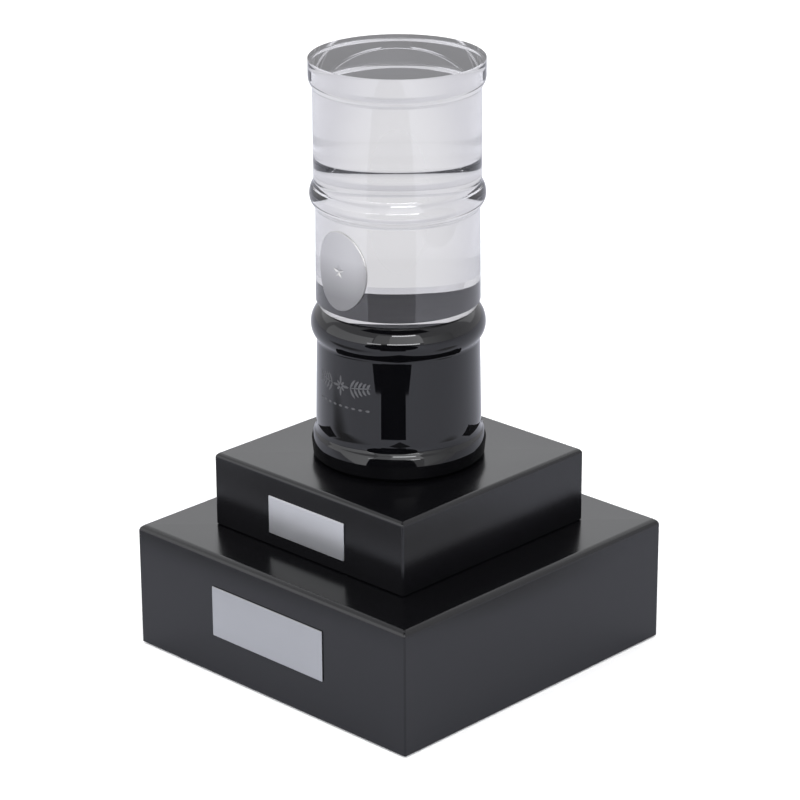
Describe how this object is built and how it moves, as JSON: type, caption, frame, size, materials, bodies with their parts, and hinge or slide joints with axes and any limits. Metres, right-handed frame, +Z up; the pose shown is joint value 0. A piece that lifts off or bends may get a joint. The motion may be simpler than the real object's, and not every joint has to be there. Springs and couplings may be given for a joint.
{
  "type": "column trophy",
  "caption": "Round ringed crystal column, clear above black, with a silver medallion, standing on a stepped square black plinth with blank silver nameplates.",
  "frame": {"origin": "centre of the underside of the felt, under the column's axis", "axes": "+Z up along the column; the medallion, the etched ornament and both nameplates face -Y"},
  "size_m": [0.15, 0.1506, 0.247],
  "materials": {
    "clear_crystal": "polished clear optical crystal",
    "bond": "cured dark UV adhesive film",
    "black_crystal": "polished opaque black crystal",
    "medal_metal": "satin silver, fine brushed grain",
    "adhesive": "thin grey acrylic adhesive tape",
    "gasket": "thin black rubber sheet",
    "insert_brass": "machined brass",
    "zinc_steel": "bright zinc-plated steel",
    "black_lacquer": "fibreboard under black semi-gloss lacquer",
    "raw_fibreboard": "bare fibreboard",
    "pine": "bare softwood",
    "felt": "black wool felt",
    "plate_metal": "blank satin silver nameplate"
  },
  "bodies": {
    "root": {"clear_drum": "clear_crystal", "crystal_bond": "bond", "black_drum": "black_crystal", "drum_gasket": "gasket", "medallion": "medal_metal", "medallion_adhesive": "adhesive", "drum_insert": "insert_brass", "drum_bolt_washer": "zinc_steel", "drum_bolt": "zinc_steel", "upper_tier_bottom_board": "black_lacquer", "upper_tier_top_board": "black_lacquer", "lower_tier_top_board": "black_lacquer", "lower_tier_front_wall": "black_lacquer", "lower_tier_right_wall": "black_lacquer", "lower_tier_back_wall": "black_lacquer", "lower_tier_left_wall": "black_lacquer", "corner_block_front_left": "pine", "corner_block_front_right": "pine", "corner_block_back_right": "pine", "corner_block_back_left": "pine", "base_panel": "raw_fibreboard", "felt_pad": "felt", "tier_screws": "zinc_steel", "base_panel_screws": "zinc_steel", "upper_nameplate_tape": "adhesive", "upper_nameplate": "plate_metal", "lower_nameplate_tape": "adhesive", "lower_nameplate": "plate_metal"}
  },
  "joints": []
}
